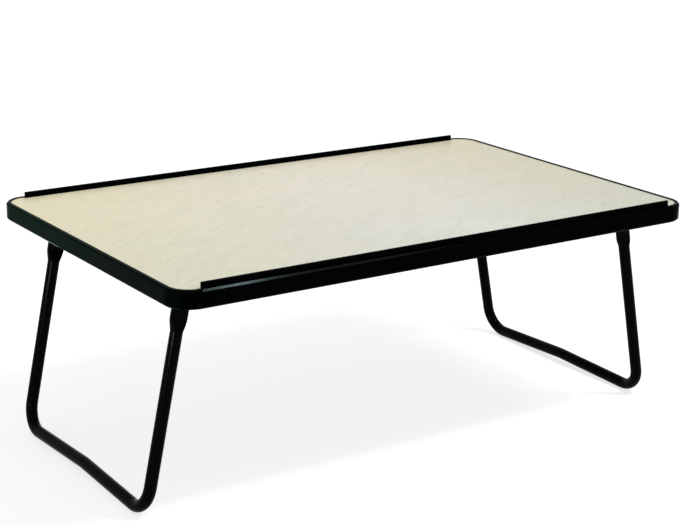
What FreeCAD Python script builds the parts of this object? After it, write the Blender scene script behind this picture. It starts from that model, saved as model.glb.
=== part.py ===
import FreeCAD, Part
import math
import os

import Sketcher
from FreeCAD import Vector

# Bed tray table with two folding tube legs.  Millimetres.
# Frame: origin on the floor under the middle of the table, +X to the right along
# the long side, +Y to the rear, +Z up.

SIZES = {
    # tray
    "tray_length": 600.0,        # over the edge moulding
    "tray_width": 380.0,
    "table_height": 230.0,       # floor to the laminate's top face
    "corner_radius": 25.0,       # of the moulding's outer face
    "core_thickness": 14.4,
    "laminate_thickness": 0.8,
    "seat_depth": 0.2,           # how far rim and rails are let into the top laminate
    # edge moulding
    "moulding_face": 2.4,        # how far it stands off the board's edge
    "moulding_overlap": 2.4,     # how far its rims reach over the board
    "moulding_raise": 0.8,       # how far they stand up from it
    "arris_bevel": 1.7,
    "tongue_thickness": 1.8,
    "tongue_depth": 9.0,
    "tongue_cutback": 3.0,       # where the tongue stops short of a corner
    "barb_height": 0.3,
    "barb_length": 1.6,
    "barb_pitch": 2.4,
    "seam_gap": 0.3,             # where the moulding's two ends meet, at the rear
    # rails along the long sides
    "rail_height": 6.0,
    "rail_width": 3.0,
    "rail_round": 1.0,
    "rail_tongue": 1.4,
    "rail_tongue_depth": 4.0,
    "rail_end_gap": 1.5,         # from the end of the straight edge to the rail
    # folding legs
    "tube_diameter": 12.0,
    "tube_wall": 1.2,
    "leg_inset": 60.7,           # from the tray's long side to the centre of a leg's tube
    "splay": 11.4,               # degrees that an open leg leans outwards
    "bend_radius": 25.0,         # of every bend, to the tube's centre line
    "bar_rise": 4.6,             # how far the middle of the low bar stands up
    "pivot_inset": 36.6,         # from the tray's end to the pivot's axis
    "pivot_drop": 12.0,          # from the board's underside to the pivot's axis
    "flat_length": 15.5,         # pivot to the end of the flat
    "flare_length": 12.0,        # flat to round
    # pivot hardware
    "rivet_diameter": 5.0,
    "rivet_head_diameter": 9.0,
    "rivet_head_height": 1.8,
    "rivet_tail_diameter": 8.0,
    "rivet_tail_height": 1.5,
    "washer_diameter": 11.0,
    "washer_thickness": 0.8,
    # brackets
    "bracket_sheet": 1.5,
    "bracket_bend_radius": 1.0,  # inside the bend
    "plate_width": 18.0,
    "plate_outboard": 24.0,      # pivot to the plate's outboard end
    "plate_inboard": 40.0,
    "plate_corner": 3.0,
    "ear_root_width": 24.0,
    "ear_radius": 8.0,
    "relief_width": 1.5,
    "relief_depth": 3.2,
    # clearances
    "joint_gap": 0.05,           # a side, tongues in their grooves
    "groove_end_gap": 1.0,       # past the tip of a tongue
    "rail_gap": 0.1,             # between a rail and the moulding's rim
    "pivot_gap": 0.08,           # round the rivet
    "side_play": 0.1,            # between a washer and the flattened tube
    "stop_gap": 0.1,             # between an open leg's end and its bracket
    "fold_gap": 0.4,             # between a folded leg's bar and the board
}

# Expressions that follow from the sizes
BOARD = "(Sizes.core_thickness + 2 * Sizes.laminate_thickness)"
UNDERSIDE = f"(Sizes.table_height - {BOARD})"
BOARD_MIDDLE = f"(Sizes.table_height - {BOARD} / 2)"
BOARD_LENGTH = "(Sizes.tray_length - 2 * Sizes.moulding_face)"
BOARD_WIDTH = "(Sizes.tray_width - 2 * Sizes.moulding_face)"
BOARD_RADIUS = "(Sizes.corner_radius - Sizes.moulding_face)"
GROOVE_DEPTH = "(Sizes.tongue_depth + Sizes.groove_end_gap)"
GROOVE_WIDTH = "(Sizes.tongue_thickness + 2 * Sizes.barb_height + 2 * Sizes.joint_gap)"
RIM_WIDTH = "(Sizes.moulding_face + Sizes.moulding_overlap)"

RAIL_Y = f"(Sizes.tray_width / 2 - {RIM_WIDTH} - Sizes.rail_gap - Sizes.rail_width / 2)"
RAIL_LENGTH = "(Sizes.tray_length - 2 * (Sizes.corner_radius + Sizes.rail_end_gap))"

PIVOT_X = "(Sizes.tray_length / 2 - Sizes.pivot_inset)"
PIVOT_Y = "(Sizes.tray_width / 2 - Sizes.leg_inset)"
PIVOT_HEIGHT = f"({UNDERSIDE} - Sizes.pivot_drop)"
TUBE_RADIUS = "(Sizes.tube_diameter / 2)"
LEG_REACH = f"(({PIVOT_HEIGHT} - {TUBE_RADIUS}) / cos(Sizes.splay))"
FLAT = "(2 * Sizes.tube_wall)"
PRESSED_WIDTH = f"(pi / 2 * (Sizes.tube_diameter - {FLAT}) + {FLAT})"

# Across the pivot, from the middle of the flattened tube towards the long edge
EAR_INSIDE = f"({FLAT} / 2 + Sizes.side_play + Sizes.washer_thickness)"
EAR_OUTSIDE = f"({EAR_INSIDE} + Sizes.bracket_sheet)"
TAIL_SEAT = f"({FLAT} / 2 + Sizes.side_play)"
PIVOT_HOLE = "(Sizes.rivet_diameter / 2 + Sizes.pivot_gap)"
PLATE_BOTTOM = "(Sizes.pivot_drop - Sizes.bracket_sheet)"

BARBS = 2            # on each side of the moulding's tongue

doc = FreeCAD.newDocument("BedTrayTable")
sheet = doc.addObject("Spreadsheet::Sheet", "Sizes")
for row, (alias, size) in enumerate(SIZES.items(), start=1):
    sheet.set(f"A{row}", alias)
    sheet.set(f"B{row}", str(size))
    sheet.setAlias(f"B{row}", alias)
doc.recompute()

pieces = []


# ---------------------------------------------------------------- sketch helpers

def value(expression):
    """The number that an expression gives with the sizes in the sheet."""
    return float(sheet.evalExpression(str(expression)))


def times(sign, expression):
    """The expression, turned negative where sign is -1."""
    return expression if sign > 0 else f"-({expression})"


def new_body(label, placement=None):
    body = doc.addObject("PartDesign::Body", "Body")
    body.Label = label
    if placement:
        body.setExpression("Placement", placement)
    pieces.append(body)
    return body


def new_sketch(body, name, plane, offset=None):
    """A sketch on one of the body's origin planes, moved along its normal."""
    sketch = body.newObject("Sketcher::SketchObject", name)
    support = next(f for f in body.Origin.OriginFeatures if f.Role == plane)
    sketch.AttachmentSupport = [(support, "")]
    sketch.MapMode = "FlatFace"
    if offset:
        sketch.setExpression("AttachmentOffset.Base.z", offset)
    return sketch


def drive(sketch, kind, *references, expression):
    """A dimension whose value stays bound to an expression."""
    index = sketch.addConstraint(Sketcher.Constraint(kind, *references, value(expression)))
    sketch.setExpression(f"Constraints[{index}]", expression)


def place_point(sketch, geometry, point, x, y):
    """Hold a point at (x, y) from the sketch's origin."""
    for axis, kind, expression in ((-2, "DistanceX", x), (-1, "DistanceY", y)):
        if expression == "0":
            sketch.addConstraint(Sketcher.Constraint("PointOnObject", geometry, point, axis))
        else:
            drive(sketch, kind, -1, 1, geometry, point, expression=expression)


def arc_between(start, end, radius):
    """The arc under a half circle from start to end, anticlockwise if radius > 0."""
    chord = end - start
    half = chord.Length / 2
    height = math.sqrt(max(radius * radius - half * half, 0.0))
    left = Vector(-chord.y, chord.x, 0).normalize()
    centre = (start + end) / 2 + left * math.copysign(height, radius)
    first, last = (start, end) if radius > 0 else (end, start)
    circle = Part.Circle(centre, Vector(0, 0, 1), abs(radius))
    angles = [math.atan2(p.y - centre.y, p.x - centre.x) for p in (first, last)]
    if angles[1] < angles[0]:
        angles[1] += 2 * math.pi
    return Part.ArcOfCircle(circle, *angles)


def draw(sketch, outline, closed=True, flip=False):
    """Draw through vertices (x, y) of expressions.

    A vertex (x, y, radius) is reached by an arc, and by an anticlockwise one if
    radius is positive.  flip mirrors the outline across the sketch's vertical axis.
    """
    vertices = [(v[0] if v[0] == "0" else times(-1 if flip else 1, v[0]), v[1]) for v in outline]
    points = [Vector(value(x), value(y), 0) for x, y in vertices]
    count = len(outline)
    segments = []
    for i in range(count if closed else count - 1):
        j = (i + 1) % count
        radius = outline[j][2] if len(outline[j]) > 2 else None
        if radius is None:
            geometry = sketch.addGeometry(Part.LineSegment(points[i], points[j]), False)
            segments.append((geometry, 1, 2, i, j))
            continue
        turn = value(radius) * (-1 if flip else 1)
        geometry = sketch.addGeometry(arc_between(points[i], points[j], turn), False)
        ends = (1, 2) if turn > 0 else (2, 1)
        segments.append((geometry, *ends, i, j))
    for k, (geometry, _, end, _, _) in enumerate(segments):
        if k + 1 < len(segments) or closed:
            after = segments[(k + 1) % len(segments)]
            sketch.addConstraint(Sketcher.Constraint("Coincident", geometry, end, after[0], after[1]))
    for geometry, start, _, i, _ in segments:
        place_point(sketch, geometry, start, *vertices[i])
    if not closed:
        geometry, _, end, _, j = segments[-1]
        place_point(sketch, geometry, end, *vertices[j])
    for geometry, start, _, _, j in segments:
        if len(outline[j]) > 2:
            radius = outline[j][2]
            size = radius if value(radius) > 0 else f"-({radius})"
            drive(sketch, "Radius", geometry, expression=size)


def draw_circle(sketch, x, y, radius, seam=0):
    """A circle whose seam lies in the direction given in degrees."""
    circle = Part.Circle(Vector(value(x), value(y), 0), Vector(0, 0, 1), value(radius))
    circle.AngleXU = math.radians(seam)
    geometry = sketch.addGeometry(circle, False)
    place_point(sketch, geometry, 3, x, y)
    drive(sketch, "Radius", geometry, expression=radius)


def draw_axis(sketch, start, end):
    """A construction line to turn a section about."""
    points = [Vector(value(x), value(y), 0) for x, y in (start, end)]
    geometry = sketch.addGeometry(Part.LineSegment(*points), True)
    for point, (x, y) in ((1, start), (2, end)):
        place_point(sketch, geometry, point, x, y)


def draw_rectangle(sketch, x, y, length, width):
    """A rectangle centred on (x, y)."""
    left, right = f"{x} - {length} / 2", f"{x} + {length} / 2"
    low, high = f"{y} - {width} / 2", f"{y} + {width} / 2"
    draw(sketch, [(left, low), (right, low), (right, high), (left, high)])


def rounded_corners(length, width, radius):
    """Vertices of a rounded rectangle about the origin, anticlockwise from the
    left end of its front side."""
    x, y = f"{length} / 2", f"{width} / 2"
    return [
        (f"-{x} + {radius}", f"-{y}"),
        (f"{x} - {radius}", f"-{y}"),
        (x, f"-{y} + {radius}", radius),
        (x, f"{y} - {radius}"),
        (f"{x} - {radius}", y, radius),
        (f"-{x} + {radius}", y),
        (f"-{x}", f"{y} - {radius}", radius),
        (f"-{x}", f"-{y} + {radius}"),
        (f"-{x} + {radius}", f"-{y}", radius),
    ]


def draw_rounded_rectangle(sketch, length, width, radius):
    """The same outline, closed: its last arc ends where its first side starts."""
    corners = rounded_corners(length, width, radius)
    draw(sketch, [corners[-1]] + corners[1:-1])


# --------------------------------------------------------------- feature helpers

def add_feature(body, kind, name, **properties):
    feature = body.newObject("PartDesign::" + kind, name)
    for key, setting in properties.items():
        setattr(feature, key, setting)
    body.Tip = feature
    return feature


def add_prism(body, kind, name, sketch, length, **properties):
    """A Pad or Pocket whose length follows an expression."""
    feature = add_feature(body, kind, name, Profile=sketch, **properties)
    feature.setExpression("Length", length)
    return feature


def add_turn(body, kind, name, sketch, angle, **properties):
    """A Revolution or Groove about the sketch's construction line."""
    feature = add_feature(body, kind, name, Profile=sketch, ReferenceAxis=(sketch, ["Axis0"]), **properties)
    feature.setExpression("Angle", angle)
    return feature


def add_through_pocket(body, name, sketch):
    return add_feature(body, "Pocket", name, Profile=sketch, Type="ThroughAll", SideType="Symmetric")


# ------------------------------------------------------------------------- tray

def cut_rail_kerfs(body):
    """Saw kerfs in the board's top for the tongues of the two rails."""
    kerfs = new_sketch(body, "RailKerfs", "XY_Plane", "Sizes.table_height")
    length = f"({RAIL_LENGTH} + 2 * Sizes.joint_gap)"
    width = "(Sizes.rail_tongue + 2 * Sizes.joint_gap)"
    for side in (-1, 1):
        draw_rectangle(kerfs, "0", times(side, RAIL_Y), length, width)
    add_prism(body, "Pocket", "RailKerfCut", kerfs, "Sizes.rail_tongue_depth + Sizes.groove_end_gap")


def make_board_core():
    body = new_body("board_core")
    outline = new_sketch(body, "CoreOutline", "XY_Plane", f"{UNDERSIDE} + Sizes.laminate_thickness")
    draw_rounded_rectangle(outline, BOARD_LENGTH, BOARD_WIDTH, BOARD_RADIUS)
    add_prism(body, "Pad", "Core", outline, "Sizes.core_thickness")

    groove = new_sketch(body, "EdgeGroove", "XY_Plane", BOARD_MIDDLE)
    draw_rounded_rectangle(groove, "Sizes.tray_length", "Sizes.tray_width", "Sizes.corner_radius")
    draw_rounded_rectangle(groove, f"({BOARD_LENGTH} - 2 * {GROOVE_DEPTH})",
                           f"({BOARD_WIDTH} - 2 * {GROOVE_DEPTH})", f"({BOARD_RADIUS} - {GROOVE_DEPTH})")
    add_prism(body, "Pocket", "EdgeGrooveCut", groove, GROOVE_WIDTH, SideType="Symmetric")

    cut_rail_kerfs(body)


def make_laminate(label, height):
    """One of the two laminate sheets, whose lower face is at height."""
    body = new_body(label)
    outline = new_sketch(body, "SheetOutline", "XY_Plane", height)
    draw_rounded_rectangle(outline, BOARD_LENGTH, BOARD_WIDTH, BOARD_RADIUS)
    add_prism(body, "Pad", "LaminateSheet", outline, "Sizes.laminate_thickness")
    return body


def make_top_laminate():
    """The upper sheet, cut back a little where the moulding's rim and the rails sit."""
    body = make_laminate("top_laminate", "Sizes.table_height - Sizes.laminate_thickness")
    seat = new_sketch(body, "RimSeat", "XY_Plane", "Sizes.table_height")
    inset = f"({RIM_WIDTH} + Sizes.joint_gap)"
    draw_rounded_rectangle(seat, "Sizes.tray_length", "Sizes.tray_width", "Sizes.corner_radius")
    draw_rounded_rectangle(seat, f"(Sizes.tray_length - 2 * {inset})", f"(Sizes.tray_width - 2 * {inset})",
                           f"(Sizes.corner_radius - {inset})")
    add_prism(body, "Pocket", "RimSeatCut", seat, "Sizes.seat_depth")

    seats = new_sketch(body, "RailSeats", "XY_Plane", "Sizes.table_height")
    inner = f"({RAIL_Y} - Sizes.rail_width / 2 - Sizes.joint_gap)"
    outer = "(Sizes.tray_width / 2 - Sizes.moulding_face - Sizes.moulding_overlap / 2)"
    length = f"({RAIL_LENGTH} + 2 * Sizes.joint_gap)"
    for side in (-1, 1):
        draw_rectangle(seats, "0", times(side, f"({inner} + {outer}) / 2"), length, f"({outer} - {inner})")
    add_prism(body, "Pocket", "RailSeatCut", seats, "Sizes.seat_depth")
    cut_rail_kerfs(body)


def mirrored_about_board(upper):
    """A section's upper half, and the same below the board's middle."""
    return upper + [(x, f"2 * {BOARD_MIDDLE} - ({height})") for x, height in reversed(upper)]


def band_section(face):
    """The moulding's face and its two rims, for the edge whose face lies at face."""
    edge, rim = f"{face} - Sizes.moulding_face", f"{face} - {RIM_WIDTH}"
    top = f"({BOARD_MIDDLE} + {BOARD} / 2 + Sizes.moulding_raise)"
    section = mirrored_about_board([
        (face, f"{top} - Sizes.arris_bevel"),
        (f"{face} - Sizes.arris_bevel", top),
        (rim, top),
        (rim, "Sizes.table_height"),
        (edge, "Sizes.table_height"),
    ])
    section[3:5] = [(x, f"{height} - Sizes.seat_depth") for x, height in section[3:5]]
    return section


def tongue_section(face):
    """The barbed tongue behind that face."""
    edge = f"{face} - Sizes.moulding_face"
    surface = f"{BOARD_MIDDLE} + Sizes.tongue_thickness / 2"
    upper = [(edge, surface)]
    for barb in range(1, BARBS + 1):
        root = f"{edge} - {barb} * Sizes.barb_pitch"
        upper += [(root, surface), (root, f"{surface} + Sizes.barb_height"),
                  (f"{root} - Sizes.barb_length", surface)]
    return mirrored_about_board(upper + [(f"{edge} - Sizes.tongue_depth", surface)])


def make_edge_moulding():
    body = new_body("edge_moulding")
    face = "Sizes.tray_width / 2"
    section = new_sketch(body, "BandSection", "YZ_Plane", "-Sizes.seam_gap / 2")
    draw(section, band_section(face))

    path = new_sketch(body, "BandPath", "XY_Plane", BOARD_MIDDLE)
    corners = rounded_corners("Sizes.tray_length", "Sizes.tray_width", "Sizes.corner_radius")
    route = [("-Sizes.seam_gap / 2", face)] + corners[5:] + corners[1:5] + [("Sizes.seam_gap / 2", face)]
    draw(path, route, closed=False)
    add_feature(body, "AdditivePipe", "Band", Profile=section, Spine=(path, []))

    # the tongue is cut away at the corners, so that the moulding bends round them
    for plane, across, along in (("YZ_Plane", "Sizes.tray_width", "Sizes.tray_length"),
                                 ("XZ_Plane", "Sizes.tray_length", "Sizes.tray_width")):
        for flip in (False, True):
            tongue = new_sketch(body, "TongueSection", plane)
            draw(tongue, tongue_section(f"{across} / 2"), flip=flip)
            length = f"{along} - 2 * (Sizes.corner_radius + Sizes.tongue_cutback)"
            add_prism(body, "Pad", "Tongue", tongue, length, SideType="Symmetric")

    seam = new_sketch(body, "Seam", "XY_Plane", BOARD_MIDDLE)
    draw_rectangle(seam, "0", face, "Sizes.seam_gap", "Sizes.tray_width / 2")
    add_through_pocket(body, "SeamCut", seam)


def make_lip_rail(label, side):
    """A raised rail, with a tongue that sits in its kerf."""
    body = new_body(label, f"placement(vector(0; {times(side, RAIL_Y)}; Sizes.table_height); "
                           "rotation(vector(0; 0; 1); 0))")
    section = new_sketch(body, "RailSection", "YZ_Plane")
    half, half_tongue = "Sizes.rail_width / 2", "Sizes.rail_tongue / 2"
    top, crown = "Sizes.rail_height", "Sizes.rail_round"
    draw(section, [
        (f"-{half_tongue}", "-Sizes.rail_tongue_depth"),
        (half_tongue, "-Sizes.rail_tongue_depth"),
        (half_tongue, "-Sizes.seat_depth"),
        (half, "-Sizes.seat_depth"),
        (half, f"{top} - {crown}"),
        (f"{half} - {crown}", top, crown),
        (f"-{half} + {crown}", top),
        (f"-{half}", f"{top} - {crown}", crown),
        (f"-{half}", "-Sizes.seat_depth"),
        (f"-{half_tongue}", "-Sizes.seat_depth"),
    ])
    add_prism(body, "Pad", "Rail", section, RAIL_LENGTH, SideType="Symmetric")


# ------------------------------------------------------------------------- legs

def make_leg(label, turn):
    """A leg bent from one tube.  In its own frame the pivot's axis is Y, the tube
    hangs down and +X points inboard; it is then leaned out by its splay."""
    end = -1 if turn == 0 else 1
    body = new_body(label, f"placement(vector({times(end, PIVOT_X)}; 0; {PIVOT_HEIGHT}); "
                           f"rotation(vector(0; 0; 1); {turn}) * rotation(vector(0; 1; 0); Sizes.splay))")

    # centre line: down, round the foot, up along the bar, over its crest, and the same again
    slope = f"atan(Sizes.bar_rise / {PIVOT_Y})"
    bend = "Sizes.bend_radius"
    top, low = "-Sizes.flat_length - Sizes.flare_length", f"(-{LEG_REACH} + {bend})"
    foot_y, foot_z = f"({PIVOT_Y} - {bend} - {bend} * sin({slope}))", f"({low} - {bend} * cos({slope}))"
    crest_y = f"({bend} * sin({slope}))"
    crest_z = f"({foot_z} + ({foot_y} - {crest_y}) * tan({slope}))"
    crest_middle = f"({crest_z} + {bend} * (1 - cos({slope})))"

    for side in (-1, 1):
        def across(expression):
            return times(side, expression)

        y = across(PIVOT_Y)
        upright = new_sketch(body, "UprightSection", "XY_Plane", top)
        draw_circle(upright, "0", y, TUBE_RADIUS)
        add_prism(body, "Pad", "Upright", upright, f"{top} - {low}", Reversed=True)

        foot = new_sketch(body, "FootSection", "XY_Plane", low)
        draw_circle(foot, "0", y, TUBE_RADIUS, seam=-90 * side)
        draw_axis(foot, ("-Sizes.bend_radius", across(f"({PIVOT_Y} - {bend})")),
                  ("Sizes.bend_radius", across(f"({PIVOT_Y} - {bend})")))
        add_turn(body, "Revolution", "FootBend", foot, f"90 deg + {slope}", Reversed=side > 0)

        # half the bar's outline, turned about its centre line
        bar = new_sketch(body, "BarOutline", "YZ_Plane")
        lean, lift = f"{TUBE_RADIUS} * sin({slope})", f"{TUBE_RADIUS} * cos({slope})"
        draw(bar, [
            (foot_y, foot_z),
            (f"{foot_y} - {lean}", f"{foot_z} - {lift}"),
            (f"{crest_y} - {lean}", f"{crest_z} - {lift}"),
            (crest_y, crest_z),
        ], flip=side < 0)
        add_feature(body, "Revolution", "Bar", Profile=bar, ReferenceAxis=(bar, ["Edge4"]))

        # the end flares to the width that the tube's girth gives, and is pressed flat
        blank = new_sketch(body, "FlareOutline", "YZ_Plane")
        draw(blank, [
            (PIVOT_Y, top),
            (f"{PIVOT_Y} + {TUBE_RADIUS}", top),
            (f"{PIVOT_Y} + {PRESSED_WIDTH} / 2", "-Sizes.flat_length"),
            (f"{PIVOT_Y} + {PRESSED_WIDTH} / 2", "Sizes.pivot_drop"),
            (PIVOT_Y, "Sizes.pivot_drop"),
        ], flip=side < 0)
        add_feature(body, "Revolution", "FlareBlank", Profile=blank, ReferenceAxis=(blank, ["Edge5"]))
        press = new_sketch(body, "PressOutline", "YZ_Plane")
        for face in (-1, 1):
            clear = times(face, PRESSED_WIDTH)
            draw(press, [
                (f"{PIVOT_Y} + {times(face, TUBE_RADIUS)}", top),
                (f"{PIVOT_Y} + {times(face, f'{FLAT} / 2')}", "-Sizes.flat_length"),
                (f"{PIVOT_Y} + {times(face, f'{FLAT} / 2')}", "2 * Sizes.pivot_drop"),
                (f"{PIVOT_Y} + {clear}", "2 * Sizes.pivot_drop"),
                (f"{PIVOT_Y} + {clear}", top),
            ], flip=side < 0)
        add_through_pocket(body, "PressedFlat", press)

    crest = new_sketch(body, "CrestSection", "XZ_Plane")
    draw_circle(crest, "0", crest_middle, TUBE_RADIUS, seam=-90)
    draw_axis(crest, ("-Sizes.bend_radius", f"({crest_middle} - {bend})"),
              ("Sizes.bend_radius", f"({crest_middle} - {bend})"))
    add_turn(body, "Revolution", "Crest", crest, f"2 * {slope}", Midplane=True)

    # the ends are cut square to the open leg's bracket outboard, so that they stop it
    # there, and round about the pivot inboard, so that they swing clear
    stop = f"({PLATE_BOTTOM} - Sizes.stop_gap)"
    beyond = "(Sizes.tube_diameter + Sizes.pivot_drop)"
    trim = new_sketch(body, "EndTrim", "XZ_Plane")
    draw(trim, [
        (f"-{stop} * sin(Sizes.splay)", f"{stop} * cos(Sizes.splay)"),
        (stop, "0", f"-{stop}"),
        (beyond, "0"),
        (beyond, beyond),
        (f"-{beyond}", beyond),
        (f"-{beyond}", f"({stop} - {beyond} * sin(Sizes.splay)) / cos(Sizes.splay)"),
    ])
    add_through_pocket(body, "EndTrimCut", trim)

    hole = new_sketch(body, "PivotHole", "XZ_Plane")
    draw_circle(hole, "0", "0", PIVOT_HOLE)
    add_through_pocket(body, "PivotHoleCut", hole)


# --------------------------------------------------------------- pivot hardware

def corner_placement(end, side):
    """At one pivot: +X inboard, +Y or -Y towards the long edge by its hand."""
    turn = 0 if end < 0 else 180
    return (f"placement(vector({times(end, PIVOT_X)}; {times(side, PIVOT_Y)}; {PIVOT_HEIGHT}); "
            f"rotation(vector(0; 0; 1); {turn}))")


def make_bracket(label, end, side):
    """A pressed angle bracket: a plate under the board and one ear folded down."""
    hand = -end * side
    flip = hand < 0
    body = new_body(label, corner_placement(end, side))

    def across(expression):
        return times(hand, expression)

    plate = new_sketch(body, "PlateOutline", "XY_Plane", PLATE_BOTTOM)
    inner = f"{EAR_OUTSIDE} - Sizes.plate_width"
    notch = "(Sizes.ear_root_width / 2 + Sizes.relief_width)"
    notch_floor = f"{EAR_OUTSIDE} - Sizes.relief_depth"
    corner = "Sizes.plate_corner"
    draw(plate, [
        ("-Sizes.plate_outboard", across(f"({inner} + {corner})")),
        (f"-Sizes.plate_outboard + {corner}", across(inner)),
        (f"Sizes.plate_inboard - {corner}", across(inner)),
        ("Sizes.plate_inboard", across(f"({inner} + {corner})")),
        ("Sizes.plate_inboard", across(f"({EAR_OUTSIDE} - {corner})")),
        (f"Sizes.plate_inboard - {corner}", across(EAR_OUTSIDE)),
        (notch, across(EAR_OUTSIDE)),
        (notch, across(notch_floor)),
        (f"-{notch}", across(notch_floor)),
        (f"-{notch}", across(EAR_OUTSIDE)),
        (f"-Sizes.plate_outboard + {corner}", across(EAR_OUTSIDE)),
        ("-Sizes.plate_outboard", across(f"({EAR_OUTSIDE} - {corner})")),
    ])
    add_prism(body, "Pad", "Plate", plate, "Sizes.bracket_sheet")

    inside = "Sizes.bracket_bend_radius"
    outside = "(Sizes.bracket_bend_radius + Sizes.bracket_sheet)"
    bend_start = f"{EAR_INSIDE} - {inside}"
    bend_foot = f"({PLATE_BOTTOM} - {inside})"
    bend = new_sketch(body, "BendSection", "YZ_Plane")
    draw(bend, [
        (EAR_INSIDE, bend_foot, f"-{inside}"),
        (EAR_OUTSIDE, bend_foot),
        (bend_start, "Sizes.pivot_drop", outside),
        (notch_floor, "Sizes.pivot_drop"),
        (notch_floor, PLATE_BOTTOM),
        (bend_start, PLATE_BOTTOM),
    ], flip=flip)
    add_prism(body, "Pad", "Bend", bend, "Sizes.ear_root_width", SideType="Symmetric")

    # the ear tapers from its root to lines tangent to the round about the pivot
    half_root = "(Sizes.ear_root_width / 2)"
    reach = f"sqrt({half_root} * {half_root} + {bend_foot} * {bend_foot})"
    angle = f"(acos(Sizes.ear_radius / {reach}) - atan({bend_foot} / {half_root}))"
    tangent_x, tangent_z = f"Sizes.ear_radius * cos({angle})", f"-Sizes.ear_radius * sin({angle})"
    ear = new_sketch(body, "EarOutline", "XZ_Plane", times(-hand, f"({EAR_INSIDE} + {EAR_OUTSIDE}) / 2"))
    draw(ear, [
        (f"-{half_root}", bend_foot),
        (half_root, bend_foot),
        (tangent_x, tangent_z),
        (f"-{tangent_x}", tangent_z, "-Sizes.ear_radius"),
    ])
    add_prism(body, "Pad", "Ear", ear, "Sizes.bracket_sheet", SideType="Symmetric")

    hole = new_sketch(body, "RivetHole", "XZ_Plane")
    draw_circle(hole, "0", "0", PIVOT_HOLE)
    add_through_pocket(body, "RivetHoleCut", hole)


def at_pivot_axis(end):
    """On a leg's pivot axis, half way between its two pivots."""
    return f"placement(vector({times(end, PIVOT_X)}; 0; {PIVOT_HEIGHT}); rotation(vector(0; 0; 1); 0))"


def make_pivot_rivets(label, end):
    """The two rivets that a leg turns on, each through a bracket's ear and a flattened
    tube end: bevelled head outside the ear, formed tail inside."""
    body = new_body(label, at_pivot_axis(end))
    body.AllowCompound = True
    shank, head, tail = (f"Sizes.rivet{size}_diameter / 2" for size in ("", "_head", "_tail"))
    seat, tail_seat = f"{PIVOT_Y} + {EAR_OUTSIDE}", f"{PIVOT_Y} - {TAIL_SEAT}"
    for side in (-1, 1):
        section = new_sketch(body, "RivetSection", "YZ_Plane")
        draw(section, [
            (f"{tail_seat} - Sizes.rivet_tail_height", "0"),
            (f"{seat} + Sizes.rivet_head_height", "0"),
            (f"{seat} + Sizes.rivet_head_height", f"{head} - Sizes.rivet_head_height"),
            (seat, head),
            (seat, shank),
            (tail_seat, shank),
            (tail_seat, tail),
            (f"{tail_seat} - Sizes.rivet_tail_height", tail),
        ], flip=side < 0)
        add_feature(body, "Revolution", "Rivet", Profile=section, ReferenceAxis=(section, ["H_Axis"]))


def make_friction_washers(label, end):
    """The washers that grip between a leg's two tube ends and their brackets' ears."""
    body = new_body(label, at_pivot_axis(end))
    body.AllowCompound = True
    middle = f"{PIVOT_Y} + {EAR_INSIDE} - Sizes.washer_thickness / 2"
    for side in (-1, 1):
        ring = new_sketch(body, "WasherRing", "XZ_Plane", times(-side, middle))
        draw_circle(ring, "0", "0", "Sizes.washer_diameter / 2")
        draw_circle(ring, "0", "0", PIVOT_HOLE)
        add_prism(body, "Pad", "Washer", ring, "Sizes.washer_thickness", SideType="Symmetric")


# --------------------------------------------------------------------- assembly

make_board_core()
make_top_laminate()
make_laminate("backing_laminate", UNDERSIDE)
make_edge_moulding()
make_lip_rail("front_lip_rail", -1)
make_lip_rail("rear_lip_rail", 1)
make_leg("left_leg", 0)
make_leg("right_leg", 180)
for end_name, end in (("left", -1), ("right", 1)):
    for side_name, side in (("front", -1), ("rear", 1)):
        make_bracket(f"{end_name}_{side_name}_bracket", end, side)
    make_pivot_rivets(f"{end_name}_pivot_rivets", end)
    make_friction_washers(f"{end_name}_friction_washers", end)
doc.recompute()

faults = [f"{o.Label}: {o.State}" for o in doc.Objects if "Invalid" in o.State or "Error" in o.State]
faults += [f"{p.Label}: bad shape" for p in pieces if p.Shape.isNull() or not p.Shape.isValid()]
if faults:
    raise RuntimeError("; ".join(faults))

os.makedirs("parts", exist_ok=True)
for piece in pieces:
    piece.Shape.exportStep(os.path.join("parts", piece.Label + ".step"))
    box = piece.Shape.BoundBox
    print(f"{piece.Label:30s} {len(piece.Shape.Solids)} solids  {piece.Shape.Volume:10.1f} mm3  "
          f"x {box.XMin:.2f} {box.XMax:.2f}  y {box.YMin:.2f} {box.YMax:.2f}  z {box.ZMin:.2f} {box.ZMax:.2f}")

past_level = math.degrees(math.asin(
    value(f"(Sizes.pivot_drop - {TUBE_RADIUS} - Sizes.fold_gap) / {LEG_REACH}")))
print(f"a leg folds {90 + value('Sizes.splay') + past_level:.2f} degrees from open to its bar under the board")
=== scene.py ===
import math

import bmesh
import bpy
from mathutils import Matrix, Vector


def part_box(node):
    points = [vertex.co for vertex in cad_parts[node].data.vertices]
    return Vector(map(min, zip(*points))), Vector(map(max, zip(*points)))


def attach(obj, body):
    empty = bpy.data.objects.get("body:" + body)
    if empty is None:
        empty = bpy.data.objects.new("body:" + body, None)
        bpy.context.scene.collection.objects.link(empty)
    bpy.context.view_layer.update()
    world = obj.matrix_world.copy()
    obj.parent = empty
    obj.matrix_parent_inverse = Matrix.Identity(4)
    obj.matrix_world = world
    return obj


# The bed tray table's finishes and bracket screws, with its camera, floor and lamps.
# Metres, in the CAD's frame: the origin is on the floor under the middle of the table,
# +X is to the right, +Y to the rear and +Z up.

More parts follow.
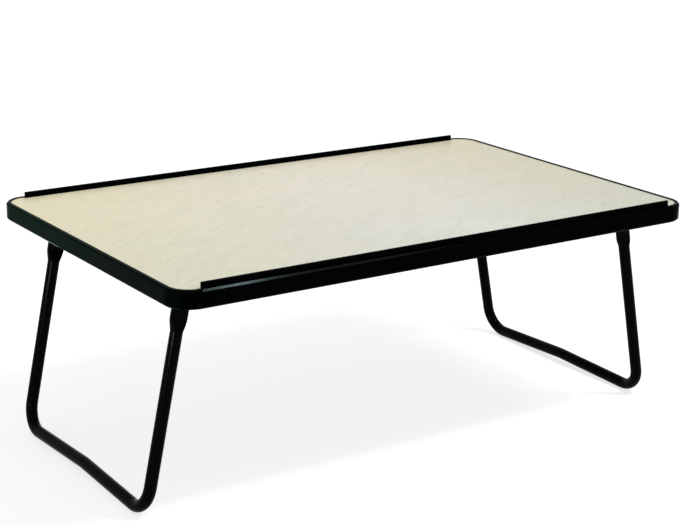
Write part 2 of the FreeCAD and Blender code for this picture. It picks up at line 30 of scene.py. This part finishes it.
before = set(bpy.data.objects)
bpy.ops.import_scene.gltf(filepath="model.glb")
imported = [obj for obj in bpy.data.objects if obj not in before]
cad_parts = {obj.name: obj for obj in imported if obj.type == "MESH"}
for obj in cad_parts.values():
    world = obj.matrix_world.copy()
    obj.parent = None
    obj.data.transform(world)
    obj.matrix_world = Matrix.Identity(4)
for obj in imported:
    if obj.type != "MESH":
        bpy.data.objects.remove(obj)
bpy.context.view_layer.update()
scene = bpy.context.scene
MM = 0.001
TRAY_END = 300 * MM                   # half the tray's length
TRAY_SIDE = 190 * MM                  # and half its width
WHITE = (1, 1, 1)


# ------------------------------------------------------------------------ camera

PHOTO_WIDTH = 700                     # pixels
FOCAL_LENGTH = 1713.5                 # the photograph's, in its pixels
SENSOR_WIDTH = 36.0                   # mm
CAMERA_PLACE = Vector((-0.9577, -1.4110, 0.6673))
CAMERA_DOWN = math.radians(16.408)
CAMERA_TURN = math.radians(34.321)    # from +Y towards +X
CAMERA_ROLL = math.radians(0.84)
NEAREST_SEEN = 10 * MM


def add_camera():
    ahead = Vector((math.sin(CAMERA_TURN) * math.cos(CAMERA_DOWN),
                    math.cos(CAMERA_TURN) * math.cos(CAMERA_DOWN),
                    -math.sin(CAMERA_DOWN)))
    level = Vector((math.cos(CAMERA_TURN), -math.sin(CAMERA_TURN), 0))
    upright = level.cross(ahead)
    right = level * math.cos(CAMERA_ROLL) + upright * math.sin(CAMERA_ROLL)
    up = upright * math.cos(CAMERA_ROLL) - level * math.sin(CAMERA_ROLL)
    camera = bpy.data.objects.new("camera", bpy.data.cameras.new("camera"))
    camera.matrix_world = (Matrix.Translation(CAMERA_PLACE)
                           @ Matrix((right, up, -ahead)).transposed().to_4x4())
    camera.data.sensor_width = SENSOR_WIDTH
    camera.data.lens = FOCAL_LENGTH * SENSOR_WIDTH / PHOTO_WIDTH
    camera.data.clip_start = NEAREST_SEEN
    scene.collection.objects.link(camera)
    scene.camera = camera


# --------------------------------------------------------------------- node trees

MIX_COLOURS = 6, 7                    # the Mix node's colour inputs, among its others
MIX_RESULT = 2                        # and its colour output


class Tree:
    """A node tree and short calls to build it.  A value is a number, a colour without
    its alpha, a vector, or the output socket of another node."""

    def __init__(self, tree):
        self.tree = tree

    def set(self, node, inputs):
        """Sets or links the node's inputs, given by name or number."""
        for name, value in inputs.items():
            socket = node.inputs[name]
            if isinstance(value, bpy.types.NodeSocket):
                self.tree.links.new(value, socket)
            elif isinstance(socket.default_value, float):
                socket.default_value = value
            else:
                alpha = (1.0,) if len(socket.default_value) > len(value) else ()
                socket.default_value = tuple(value) + alpha

    def add(self, kind, inputs, **options):
        node = self.tree.nodes.new("ShaderNode" + kind)
        for name, value in options.items():
            setattr(node, name, value)
        self.set(node, inputs)
        return node

    def math(self, operation, first, second):
        return self.add("Math", {0: first, 1: second}, operation=operation).outputs[0]

    def ramp(self, value, source, result=(0.0, 1.0), smooth=True):
        """Takes the source range to the result range, whose ends hold outside it."""
        inputs = {"Value": value, "From Min": source[0], "From Max": source[1],
                  "To Min": result[0], "To Max": result[1]}
        kind = "SMOOTHSTEP" if smooth else "LINEAR"
        return self.add("MapRange", inputs, interpolation_type=kind).outputs[0]

    def seen_directly(self):
        """1 for camera, glossy and transmission rays, and 0 for the others."""
        path = self.add("LightPath", {}).outputs
        either = self.math("MAXIMUM", path["Is Camera Ray"], path["Is Glossy Ray"])
        return self.math("MAXIMUM", either, path["Is Transmission Ray"])


class Material(Tree):
    """A new Principled material.  Its settings are the same all over the surface."""

    def __init__(self, name, settings):
        self.data = bpy.data.materials.new(name)
        self.data.use_nodes = True
        super().__init__(self.data.node_tree)
        self.shader = self.tree.nodes["Principled BSDF"]
        self.set(self.shader, settings)
        self.place = self.add("TexCoord", {}).outputs["Object"]     # its own metres

    def axis(self, name):
        return self.add("SeparateXYZ", {"Vector": self.place}).outputs[name]

    def distance(self):
        """How far the place is from the origin."""
        node = self.add("VectorMath", {0: self.place}, operation="LENGTH")
        return node.outputs["Value"]

    def mapped(self, scale, turn=0.0):
        """The place turned about Z by so many degrees, and then scaled."""
        turned = self.add("Mapping", {"Vector": self.place,
                                      "Rotation": (0, 0, math.radians(turn))})
        scaled = self.add("Mapping", {"Vector": turned.outputs[0], "Scale": scale})
        return scaled.outputs[0]

    def noise(self, vector, scale, detail=3.0, roughness=0.5, distortion=0.0):
        inputs = {"Vector": vector, "Scale": scale, "Detail": detail,
                  "Roughness": roughness, "Distortion": distortion}
        return self.add("TexNoise", inputs).outputs["Fac"]

    def mix(self, factor, first, second, blend="MIX"):
        inputs = {0: factor, MIX_COLOURS[0]: first, MIX_COLOURS[1]: second}
        node = self.add("Mix", inputs, data_type="RGBA", blend_type=blend)
        return node.outputs[MIX_RESULT]

    def finish(self, colour, roughness, relief, depth, strength=1.0):
        """Links the shader and returns the material.  Depth is that of the relief."""
        bump = self.add("Bump", {"Height": relief, "Distance": depth, "Strength": strength})
        self.set(self.shader, {"Base Color": colour, "Roughness": roughness,
                               "Normal": bump.outputs[0]})
        return self.data


# ---------------------------------------------------------------------- materials

BOARD_PAINTED_LIGHT_TONES = {                       # the laminate's colour, left to right, with painted light and shade: lighter and yellower on the left, darker on the right
    "left": (0.735, 0.638, 0.456),
    "middle": (0.698, 0.614, 0.518),
    "right": (0.578, 0.505, 0.382),
}
BOARD_PAINTED_SHADE_TINTS = {                       # painted shade that multiplies it, darker at the front and lighter at the rear
    "front": (0.905, 0.941, 0.996),
    "rear": (1.105, 1.064, 1.004),
}
PAINTED_LIGHT_SHIFT = 20 * MM                 # of the painted light's middle and right tones, to the right
GRAIN_TURN = -34                      # degrees
GRAIN_STRETCH = 0.26                  # the scale of its noise along the grain
FIGURE_STRENGTH = 0.9

PLASTIC_BLACK = (0.0004, 0.0006, 0.0005)
MOULDING_SCUFFED = (0.004, 0.005, 0.004)
RAIL_SCUFFED = (0.004, 0.004, 0.004)
# A green reflection painted on the moulding at the tray's left end, strongest at the rear.
MOULDING_PAINTED_REFLECTION = (0.0006, 0.0105, 0.0048)
PAINTED_REFLECTION_X = (12 * MM - TRAY_END, 3 * MM - TRAY_END)         # where it starts and is full
PAINTED_REFLECTION_Y = (-10 * MM - TRAY_SIDE, TRAY_SIDE)               # from the front to the rear
PAINTED_REFLECTION_AT_Y = (0.2, 1.0)               # how much of the painted reflection is there
EXTRUSION_STRETCH = 0.012             # the scale of its noise along the extrusion

COAT_BLACK, COAT_RUBBED = (0.0006, 0.0008, 0.0007), (0.020, 0.020, 0.019)
COAT_RUB_HEIGHTS = (4 * MM, 0.5 * MM)                     # where it starts and is full
PAINT_BLACK, PAINT_THIN = (0.001, 0.001, 0.001), (0.004, 0.004, 0.004)
ZINC_DULL, ZINC_BRIGHT = (0.42, 0.42, 0.41), (0.60, 0.60, 0.58)
NYLON_DEEP, NYLON_PALE = (0.66, 0.65, 0.59), (0.75, 0.74, 0.69)
CHIP_DARK, CHIP_PALE, RESIN = (0.47, 0.33, 0.19), (0.70, 0.57, 0.40), (0.36, 0.25, 0.15)


def make_laminate(name, left, middle, right, front, rear):
    """Pale birch-effect laminate: a satin printed sheet with faint slanting figure,
    with painted light and shade in its colour, which drifts along the board and across it."""
    m = Material(name, {"Specular IOR Level": 0.35})
    slanting = m.mapped(scale=(GRAIN_STRETCH, 1, 1), turn=GRAIN_TURN)
    streaks = m.noise(slanting, scale=190, detail=4, roughness=0.62, distortion=0.5)
    wide = m.noise(slanting, scale=52, roughness=0.55, distortion=0.8)
    blotches = m.noise(m.place, scale=15, roughness=0.55, distortion=0.6)
    speckle = m.noise(m.place, scale=520, roughness=0.75)

    # Painted light and shade: lighter and yellower at the left end, darker towards the right.
    tone = m.mix(m.ramp(m.axis("X"), (-TRAY_END, PAINTED_LIGHT_SHIFT)), left, middle)
    tone = m.mix(m.ramp(m.axis("X"), (PAINTED_LIGHT_SHIFT, TRAY_END + PAINTED_LIGHT_SHIFT)), tone, right)
    # Painted shade: the colour is darkened towards the front and lightened towards the rear.
    across = m.ramp(m.axis("Y"), (-TRAY_SIDE, TRAY_SIDE), smooth=False)
    colour = m.mix(1.0, tone, m.mix(across, front, rear), "MULTIPLY")
    figure = (        # a noise, the values at which it starts and is full, and its tint
        (blotches, (0.35, 0.70), (1.015, 0.98, 0.965)),
        (wide, (0.40, 0.66), (0.952, 0.966, 0.958)),
        (streaks, (0.48, 0.70), (1.06, 1.06, 1.06)),
        (streaks, (0.46, 0.28), (0.89, 0.87, 0.84)),
        (speckle, (0.52, 0.70), (0.92, 0.91, 0.89)),
    )
    for noise, values, tint in figure:
        amount = m.ramp(noise, values, (0.0, FIGURE_STRENGTH))
        colour = m.mix(amount, colour, tint, "MULTIPLY")

    relief = m.math("ADD", m.math("MULTIPLY", streaks, 0.7), m.math("MULTIPLY", speckle, 0.3))
    return m.finish(colour=colour, roughness=m.ramp(streaks, (0.3, 0.7), (0.38, 0.46)),
                    relief=relief, depth=0.06 * MM)


def make_black_plastic(name, colour, scuffed, painted_reflection=None):
    """Black extruded plastic: fine lines along the extrusion and a soft satin.  The
    painted reflection, if given, is a green colour painted at the tray's left end, most at
    the rear."""
    m = Material(name, {"Specular IOR Level": 0.005})
    along = m.mapped(scale=(EXTRUSION_STRETCH, EXTRUSION_STRETCH, 1))
    lines = m.noise(along, scale=2600, detail=2, roughness=0.6)
    cloud = m.noise(m.place, scale=38)
    rubbed = m.ramp(m.noise(m.place, scale=210, detail=4, roughness=0.7), (0.60, 0.78))
    # Painted reflection: green mixed into the colour at the left end, most at the rear.
    if painted_reflection:
        amount = m.math("MULTIPLY", m.ramp(m.axis("X"), PAINTED_REFLECTION_X),
                        m.ramp(m.axis("Y"), PAINTED_REFLECTION_Y, PAINTED_REFLECTION_AT_Y))
        colour = m.mix(amount, colour, painted_reflection)
    satin = m.ramp(cloud, (0.3, 0.7), (0.08, 0.12))
    return m.finish(colour=m.mix(m.math("MULTIPLY", rubbed, 0.35), colour, scuffed),
                    roughness=m.math("ADD", satin, m.math("MULTIPLY", rubbed, 0.12)),
                    relief=lines, depth=0.03 * MM, strength=0.6)


def make_powder_coat(name):
    """Gloss black powder coat with its faint orange peel, rubbed where the bar stands."""
    m = Material(name, {"Specular IOR Level": 0.02})
    peel = m.noise(m.place, scale=420, detail=2, roughness=0.45)
    dust = m.noise(m.place, scale=1500, roughness=0.6)
    patches = m.noise(m.place, scale=160, detail=4, roughness=0.65)
    rubbed = m.math("MULTIPLY", m.ramp(m.axis("Z"), COAT_RUB_HEIGHTS),
                    m.ramp(patches, (0.42, 0.62)))
    gloss = m.ramp(dust, (0.35, 0.75), (0.11, 0.17))
    return m.finish(colour=m.mix(rubbed, COAT_BLACK, COAT_RUBBED),
                    roughness=m.math("ADD", gloss, m.math("MULTIPLY", rubbed, 0.30)),
                    relief=peel, depth=0.08 * MM, strength=0.5)


def make_painted_sheet(name):
    """Black paint on pressed sheet, a little thin and grainy."""
    m = Material(name, {"Specular IOR Level": 0.02})
    grain = m.noise(m.place, scale=900, roughness=0.6)
    cloud = m.noise(m.place, scale=90)
    return m.finish(colour=m.mix(m.ramp(cloud, (0.35, 0.7)), PAINT_BLACK, PAINT_THIN),
                    roughness=m.ramp(grain, (0.3, 0.7), (0.34, 0.50)),
                    relief=grain, depth=0.04 * MM, strength=0.5)


def make_zinc(name):
    """Zinc-plated steel: bright, slightly mottled, with fine turning marks."""
    m = Material(name, {"Metallic": 1.0})
    mottle = m.noise(m.place, scale=700, detail=4, roughness=0.6)
    marks = m.noise(m.mapped(scale=(1, 0.08, 1)), scale=3200, detail=2)
    return m.finish(colour=m.mix(m.ramp(mottle, (0.35, 0.65)), ZINC_DULL, ZINC_BRIGHT),
                    roughness=m.ramp(mottle, (0.3, 0.7), (0.26, 0.44)),
                    relief=marks, depth=0.01 * MM, strength=0.5)


def make_nylon(name):
    """Natural nylon: milky, with a faintly uneven satin."""
    m = Material(name, {"Specular IOR Level": 0.4, "Subsurface Weight": 0.15,
                        "Subsurface Scale": 2 * MM})
    mottle = m.noise(m.place, scale=500)
    return m.finish(colour=m.mix(m.ramp(mottle, (0.35, 0.65)), NYLON_DEEP, NYLON_PALE),
                    roughness=m.ramp(mottle, (0.3, 0.7), (0.42, 0.55)),
                    relief=mottle, depth=0.02 * MM, strength=0.4)


def make_particle_board(name):
    """Pressed wood chips in resin, closed in by the laminates and the moulding."""
    m = Material(name, {"Specular IOR Level": 0.2})
    chips = m.add("TexVoronoi", {"Vector": m.mapped(scale=(1, 0.35, 1)), "Scale": 420})
    dust = m.noise(m.place, scale=1300, detail=4, roughness=0.7)
    tone = m.add("SeparateColor", {"Color": chips.outputs["Color"]}).outputs[0]
    wood = m.mix(tone, CHIP_DARK, CHIP_PALE)
    return m.finish(colour=m.mix(m.ramp(dust, (0.4, 0.7), (0.0, 0.5)), wood, RESIN),
                    roughness=m.ramp(dust, (0.3, 0.7), (0.75, 0.95)),
                    relief=m.math("ADD", chips.outputs["Distance"], dust),
                    depth=0.2 * MM, strength=0.5)


def finish_nodes(zinc):
    """Gives each CAD node the material that goes with the last word of its name."""
    materials = {
        "laminate": make_laminate("birch_laminate", **BOARD_PAINTED_LIGHT_TONES, **BOARD_PAINTED_SHADE_TINTS),
        "moulding": make_black_plastic("black_moulding", PLASTIC_BLACK, MOULDING_SCUFFED,
                                       MOULDING_PAINTED_REFLECTION),
        "rail": make_black_plastic("black_rail", PLASTIC_BLACK, RAIL_SCUFFED),
        "core": make_particle_board("particle_board"),
        "leg": make_powder_coat("black_powder_coat"),
        "bracket": make_painted_sheet("black_bracket_paint"),
        "rivets": zinc,
        "washers": make_nylon("nylon"),
    }
    for name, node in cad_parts.items():
        slots = node.data.materials
        slots.clear()
        slots.append(materials[name.split("_")[-1]])


# ----------------------------------------------------------------- bracket screws

HEAD_RADIUS = 3.5 * MM
HEAD_HEIGHT = 2.2 * MM
HEAD_SUNK = 0.3 * MM                  # into the bracket, so that no gap shows
RIM_HEIGHT = 0.7 * MM                 # of the head's side, below its dome
CHAMFER_WIDTH = 0.2 * MM              # at the head's foot
CHAMFER_HEIGHT = 0.15 * MM
RECESS_ARM = 1.9 * MM                 # from the axis to the end of an arm
RECESS_WIDTH = 0.8 * MM
RECESS_DEPTH = 1.3 * MM
RECESS_TAPER = 0.55                   # the recess's size at its bottom
STEPS_ROUND = 40
DOME_STEP = 10                        # degrees
SHARP_EDGE = math.radians(35)
BRACKET_SHEET = 1.5 * MM
SCREW_INSET = 6 * MM                  # from the end of a bracket
SCREW_TURNS = (12, 71, 38, 5, 64, 27, 50, 83)      # degrees, as the driver left them


def lathe(profile):
    """A closed solid turned about Z from (radius, height) points, ends on the axis."""
    mesh = bmesh.new()
    rings = []
    for radius, height in profile:
        steps = STEPS_ROUND if radius else 1
        angles = [2 * math.pi * k / STEPS_ROUND for k in range(steps)]
        rings.append([mesh.verts.new((radius * math.cos(a), radius * math.sin(a), height))
                      for a in angles])
    for lower, upper in zip(rings, rings[1:]):
        for k in range(STEPS_ROUND):
            a, b = lower[k % len(lower)], lower[(k + 1) % len(lower)]
            c, d = upper[(k + 1) % len(upper)], upper[k % len(upper)]
            corners = dict.fromkeys((a, b, c, d))      # three, where a ring is a point
            mesh.faces.new(list(corners))
    bmesh.ops.recalc_face_normals(mesh, faces=mesh.faces)
    return mesh


def cross_punch():
    """The tool that leaves a cross recess: a tapered plus, point down."""
    arm, half, depth = RECESS_ARM, RECESS_WIDTH / 2, RECESS_DEPTH
    outline = [(arm, -half), (arm, half), (half, half), (half, arm),
               (-half, arm), (-half, half), (-arm, half), (-arm, -half),
               (-half, -half), (-half, -arm), (half, -arm), (half, -half)]
    mesh = bmesh.new()
    top = [mesh.verts.new((x, y, depth)) for x, y in outline]
    low = [mesh.verts.new((x * RECESS_TAPER, y * RECESS_TAPER, -depth)) for x, y in outline]
    mesh.faces.new(top)
    mesh.faces.new(low[::-1])
    for k in range(len(outline)):
        j = (k + 1) % len(outline)
        mesh.faces.new((top[k], low[k], low[j], top[j]))
    bmesh.ops.recalc_face_normals(mesh, faces=mesh.faces)
    return mesh


def as_object(name, mesh):
    data = bpy.data.meshes.new(name)
    mesh.to_mesh(data)
    mesh.free()
    made = bpy.data.objects.new(name, data)
    scene.collection.objects.link(made)
    return made


def screw_mesh():
    """A pan-head screw's head with its cross recess, standing on z = 0."""
    foot = HEAD_RADIUS - CHAMFER_WIDTH
    dome = [(HEAD_RADIUS * math.cos(a), RIM_HEIGHT + (HEAD_HEIGHT - RIM_HEIGHT) * math.sin(a))
            for a in map(math.radians, range(0, 90, DOME_STEP))]
    head = as_object("screw_head", lathe([(0, -HEAD_SUNK), (foot, -HEAD_SUNK), (foot, 0),
                                          (HEAD_RADIUS, CHAMFER_HEIGHT), *dome,
                                          (0, HEAD_HEIGHT)]))
    punch = as_object("screw_punch", cross_punch())
    punch.location.z = HEAD_HEIGHT
    cut = head.modifiers.new("recess", "BOOLEAN")
    cut.object, cut.operation, cut.solver = punch, "DIFFERENCE", "EXACT"
    bpy.context.view_layer.update()
    evaluated = head.evaluated_get(bpy.context.evaluated_depsgraph_get())
    mesh = bpy.data.meshes.new_from_object(evaluated)
    mesh.name = "bracket_screw"
    for scratch in (head, punch):
        bpy.data.objects.remove(scratch)
    for face in mesh.polygons:
        face.use_smooth = True
    mesh.set_sharp_from_angle(angle=SHARP_EDGE)
    return mesh


def add_bracket_screws(material):
    """Two screws up through each bracket's plate into the board."""
    mesh = screw_mesh()
    mesh.materials.append(material)
    turns = iter(SCREW_TURNS)
    for end in ("left", "right"):
        for side in ("front", "rear"):
            low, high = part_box(f"{end}_{side}_bracket")
            y, underside = (low.y + high.y) / 2, high.z - BRACKET_SHEET
            for place, x in (("outer", low.x + SCREW_INSET), ("inner", high.x - SCREW_INSET)):
                screw = bpy.data.objects.new(f"{end}_{side}_screw_{place}", mesh)
                screw.matrix_world = (Matrix.Translation((x, y, underside))
                                      @ Matrix.Rotation(math.pi, 4, "X")
                                      @ Matrix.Rotation(math.radians(next(turns)), 4, "Z"))
                scene.collection.objects.link(screw)
                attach(screw, "tray")


# -------------------------------------------------------------- floor and lighting

FLOOR_REACH = 12.0                    # each way from the origin
FLOOR_COLOUR = (0.45, 0.45, 0.45)
FLOOR_ROUGHNESS = 0.9
TOP_UP_PLACES = (1.0, 3.0)            # from the origin
TOP_UP = (0.72, 0.79)                 # there, of the floor that is seen
WORLD_STRENGTH = 0.55


def add_floor():
    """A plain pale floor.  What the camera and reflections see of it is topped up to
    white, a little more far off, where the lamps don't reach; the light that it throws
    back on the object is its plain colour's."""
    mesh = bmesh.new()
    bmesh.ops.create_grid(mesh, x_segments=1, y_segments=1, size=FLOOR_REACH)
    floor = as_object("floor", mesh)
    m = Material("pale_floor", {"Base Color": FLOOR_COLOUR, "Roughness": FLOOR_ROUGHNESS,
                                "Specular IOR Level": 0.0, "Emission Color": WHITE})
    top_up = m.ramp(m.distance(), TOP_UP_PLACES, TOP_UP)
    m.set(m.shader, {"Emission Strength": m.math("MULTIPLY", m.seen_directly(), top_up)})
    floor.data.materials.append(m.data)


def add_world():
    """White to look at, and dimmer as a light."""
    world = bpy.data.worlds.new("studio")
    world.use_nodes = True
    scene.world = world
    w = Tree(world.node_tree)
    strength = w.ramp(w.seen_directly(), (0.0, 1.0), (WORLD_STRENGTH, 1.0), smooth=False)
    w.set(w.tree.nodes["Background"], {"Color": WHITE, "Strength": strength})


def add_lamp(name, place, target, width, height, power, colour=WHITE):
    """A rectangular lamp whose width is level."""
    data = bpy.data.lights.new(name, "AREA")
    data.shape = "RECTANGLE"
    data.size, data.size_y, data.energy, data.color = width, height, power, colour
    lamp = bpy.data.objects.new(name, data)
    away = (Vector(place) - Vector(target)).normalized()
    across = Vector((0, 0, 1)).cross(away).normalized()
    turn = Matrix((across, away.cross(across), away)).transposed().to_4x4()
    lamp.matrix_world = Matrix.Translation(place) @ turn
    scene.collection.objects.link(lamp)


def add_lamps():
    """A soft key, and two small lamps that draw the streaks of light along the near
    edge of the moulding and down the left leg's tubes."""
    add_lamp("key", place=(1.73, -1.35, 3.5), target=(0, 0, 0.2),
             width=0.9, height=0.9, power=36)
    add_lamp("spark", place=(0.815, -0.835, 2.04), target=(-0.24, -0.19, 0.23),
             width=0.24, height=0.05, power=22, colour=(0.66, 0.95, 1.0))
    add_lamp("left", place=(-1.61, -0.52, 0.15), target=(-0.27, 0, 0.16),
             width=0.50, height=0.08, power=6.5, colour=(0.80, 1.0, 0.96))


# -------------------------------------------------------------------------- scene

add_camera()
zinc_steel = make_zinc("zinc_steel")
finish_nodes(zinc_steel)
add_bracket_screws(zinc_steel)
add_floor()
add_world()
add_lamps()

scene.view_settings.view_transform = "Standard"
